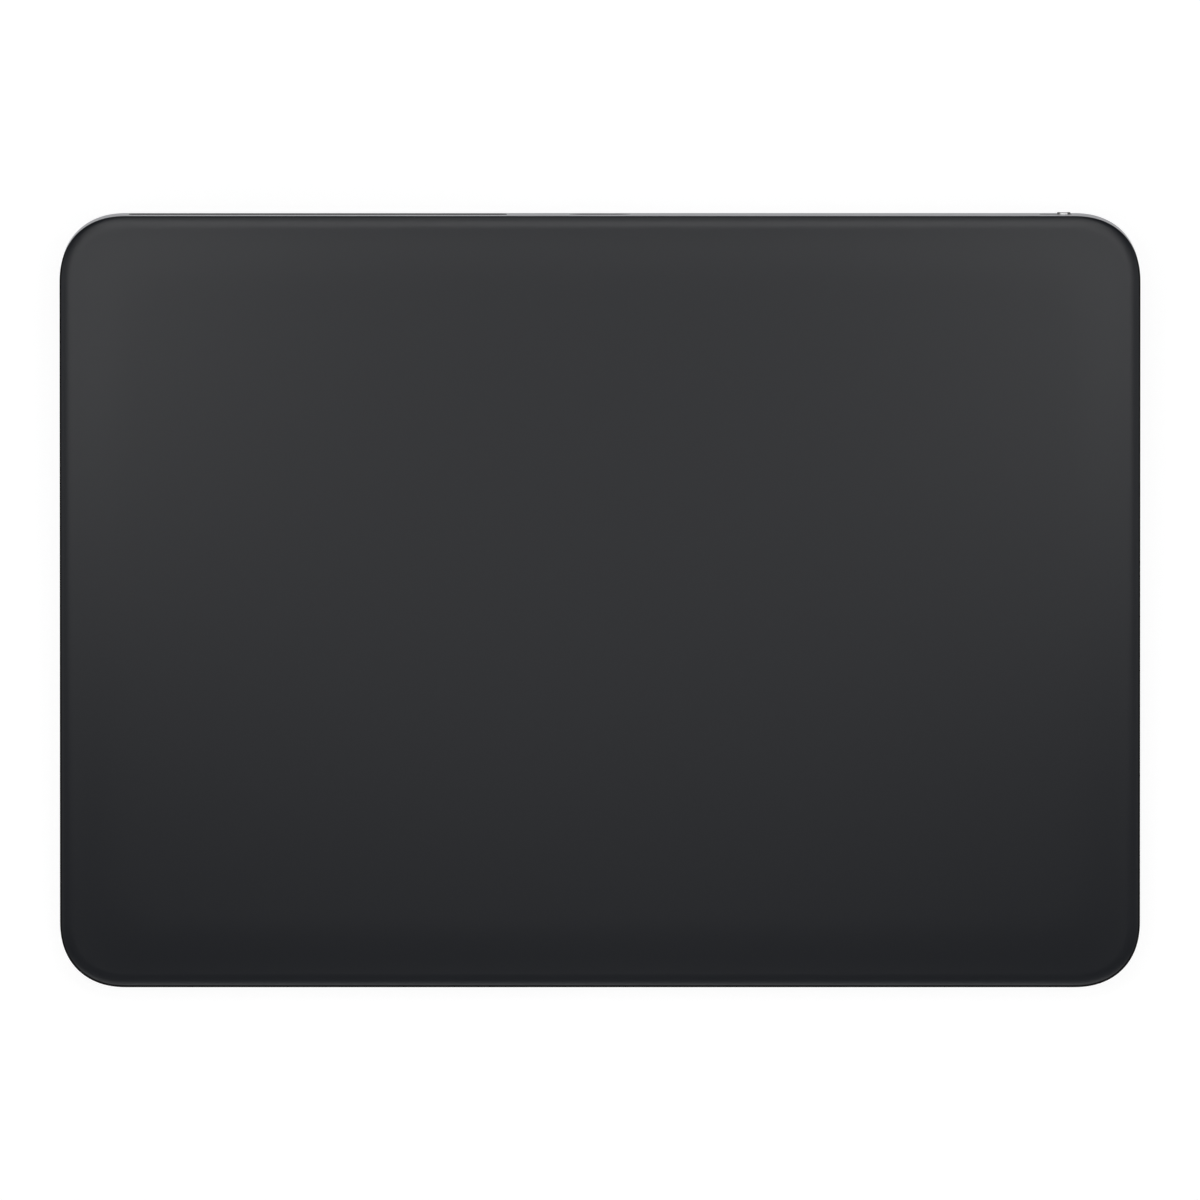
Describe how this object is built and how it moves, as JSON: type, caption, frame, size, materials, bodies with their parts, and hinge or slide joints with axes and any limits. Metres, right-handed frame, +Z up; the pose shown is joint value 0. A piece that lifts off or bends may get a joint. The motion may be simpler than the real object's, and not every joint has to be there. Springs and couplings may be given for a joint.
{
  "type": "trackpad",
  "caption": "Flat wedge-shaped wireless trackpad with an etched black glass surface on a thin metal shell, force-sensing beams, a haptic engine and a rear power slider.",
  "frame": {"origin": "on the desk, under the middle of the outline", "axes": "+X to the user's right, +Y away from the user towards the thick rear edge, +Z up"},
  "size_m": [0.16, 0.1147, 0.0109],
  "materials": {
    "etched_glass": "satin",
    "black_film": "matte",
    "sensor_laminate": "matte",
    "plain_aluminium": "satin",
    "blasted_aluminium": "satin",
    "spring_steel": "satin",
    "tin_steel": "satin",
    "screw_steel": "matte",
    "core_iron": "matte",
    "copper_wire": "satin",
    "gold_contact": "satin",
    "socket_plastic": "matte",
    "window_plastic": "satin",
    "board_laminate": "matte",
    "chip_epoxy": "matte",
    "flex_film": "satin",
    "cell_foil": "satin",
    "adhesive_tape": "matte",
    "gasket_foam": "matte",
    "foot_rubber": "matte",
    "damping_gel": "matte",
    "slider_plastic": "matte",
    "indicator_green": "matte"
  },
  "bodies": {
    "housing": {"base_shell": "blasted_aluminium", "perimeter_gasket": "gasket_foam", "antenna_window": "window_plastic", "antenna_board": "board_laminate", "antenna_flex": "flex_film", "connector_shell": "tin_steel", "connector_tongue": "socket_plastic", "connector_contacts": "gold_contact", "port_board": "board_laminate", "port_bracket": "tin_steel", "port_screws": "screw_steel", "port_flex": "flex_film", "switch_frame": "tin_steel", "switch_board": "board_laminate", "switch_screws": "screw_steel", "switch_flex": "flex_film", "logic_board": "board_laminate", "shield_can_large": "tin_steel", "shield_can_small": "tin_steel", "logic_chips": "chip_epoxy", "board_connectors": "socket_plastic", "board_screws": "screw_steel", "haptic_base": "spring_steel", "haptic_core": "core_iron", "haptic_coils": "copper_wire", "haptic_screws": "screw_steel", "haptic_flex": "flex_film", "strain_gauges": "flex_film", "beam_screws": "screw_steel", "touch_flex": "flex_film", "battery_protection_boards": "board_laminate", "battery_tabs": "tin_steel", "battery_adhesive": "adhesive_tape", "foot_front_left": "foot_rubber", "force_beam_front_left": "spring_steel", "foot_front_right": "foot_rubber", "force_beam_front_right": "spring_steel", "foot_rear_left": "foot_rubber", "force_beam_rear_left": "spring_steel", "foot_rear_right": "foot_rubber", "force_beam_rear_right": "spring_steel", "battery_cell_left": "cell_foil", "battery_flex_left": "flex_film", "force_flex_left": "flex_film", "battery_cell_right": "cell_foil", "battery_flex_right": "flex_film", "force_flex_right": "flex_film"},
    "suspension": {"load_pads": "spring_steel", "gel_isolators": "damping_gel"},
    "touch_top": {"touch_glass": "etched_glass", "glass_bond": "black_film", "touch_sensor_board": "sensor_laminate", "stiffener_plate": "plain_aluminium", "attraction_rail": "core_iron", "touch_chips": "chip_epoxy", "touch_connector": "socket_plastic"},
    "switch_slider": {"switch_knob": "blasted_aluminium", "switch_carriage": "slider_plastic", "switch_indicator": "indicator_green"}
  },
  "joints": [
    {"name": "surface_press", "type": "slide", "parent": "housing", "child": "suspension", "axis": [0, 0.0524, -0.9986], "range_m": [0, 0.0002], "stiffness_N_per_m": 20000, "springref_m": -0.00008, "deforming": ["force_beam_front_left", "force_beam_front_right", "force_beam_rear_left", "force_beam_rear_right", "touch_flex"]},
    {"name": "haptic_shift", "type": "slide", "parent": "suspension", "child": "touch_top", "axis": [0, 0.9986, 0.0524], "range_m": [-0.00012, 0.00012], "stiffness_N_per_m": 20000, "deforming": ["touch_flex"]},
    {"name": "power_switch", "type": "slide", "parent": "housing", "child": "switch_slider", "axis": [-1, 0, 0], "range_m": [0, 0.0024]}
  ]
}
